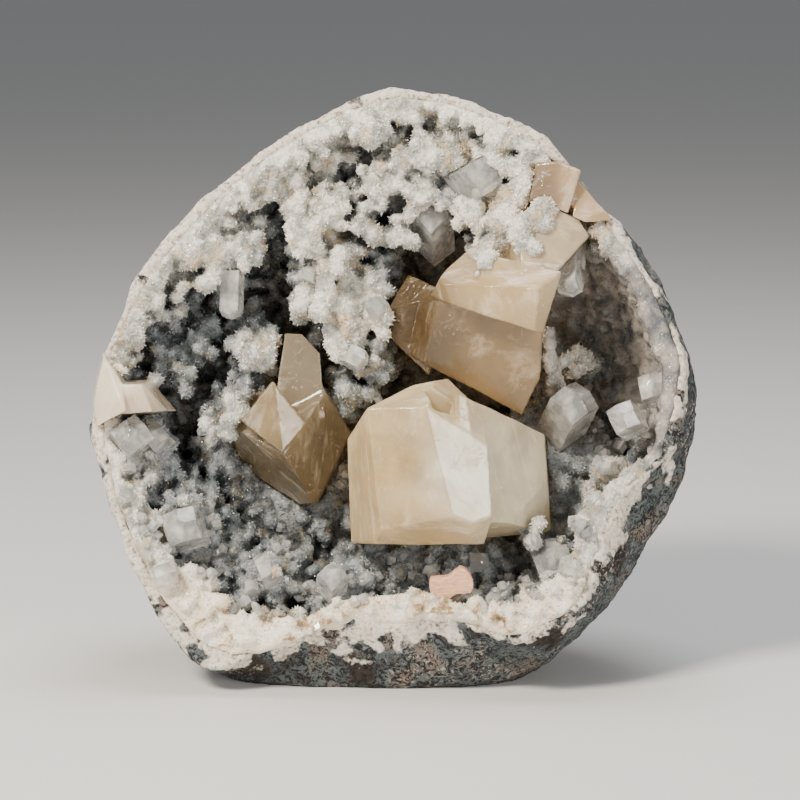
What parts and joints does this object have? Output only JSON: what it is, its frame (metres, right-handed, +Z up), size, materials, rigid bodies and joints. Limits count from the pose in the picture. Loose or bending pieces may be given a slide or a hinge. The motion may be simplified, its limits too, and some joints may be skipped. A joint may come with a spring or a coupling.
{
  "type": "calcite with apophyllite geode",
  "caption": "Opened rock geode standing on a flat cut base, its hollow lined with druse and holding large calcite and clear apophyllite crystals.",
  "frame": {"origin": "on the flat base, under the middle of the nodule as seen from its open mouth", "axes": "+Z up, X to the right when looking into the mouth, +Y away from the mouth, so the mouth faces -Y"},
  "size_m": [0.2512, 0.1336, 0.2441],
  "materials": {
    "basalt_rock": "rough, pitted, dark green-grey with pinkish-white specks",
    "chalcedony_druse": "sugary druse, white at its tips and blue-grey in the depth",
    "honey_calcite": "translucent cream to honey, satin crystal faces",
    "amber_calcite": "translucent amber, satin crystal faces",
    "clear_apophyllite": "clear, glassy faces, faintly blue-grey inside",
    "pink_stilbite": "peach, pearly blades"
  },
  "bodies": {
    "root": {"rock_shell": "basalt_rock", "crystal_crust": "chalcedony_druse", "calcite_front": "honey_calcite", "calcite_left": "honey_calcite", "calcite_cluster": "amber_calcite", "calcite_rim_right": "amber_calcite", "calcite_rim_left": "honey_calcite", "stilbite_tuft": "pink_stilbite", "apophyllite_lower_left": "clear_apophyllite", "apophyllite_upper_left": "clear_apophyllite", "apophyllite_hanging": "clear_apophyllite", "apophyllite_top": "clear_apophyllite", "apophyllite_floor_left": "clear_apophyllite", "apophyllite_floor_middle": "clear_apophyllite", "apophyllite_right_low": "clear_apophyllite", "apophyllite_right": "clear_apophyllite", "apophyllite_behind_calcite": "clear_apophyllite", "apophyllite_blade": "clear_apophyllite", "apophyllite_floor_right": "clear_apophyllite", "apophyllite_rim_left": "clear_apophyllite", "apophyllite_grey": "clear_apophyllite"}
  },
  "joints": []
}
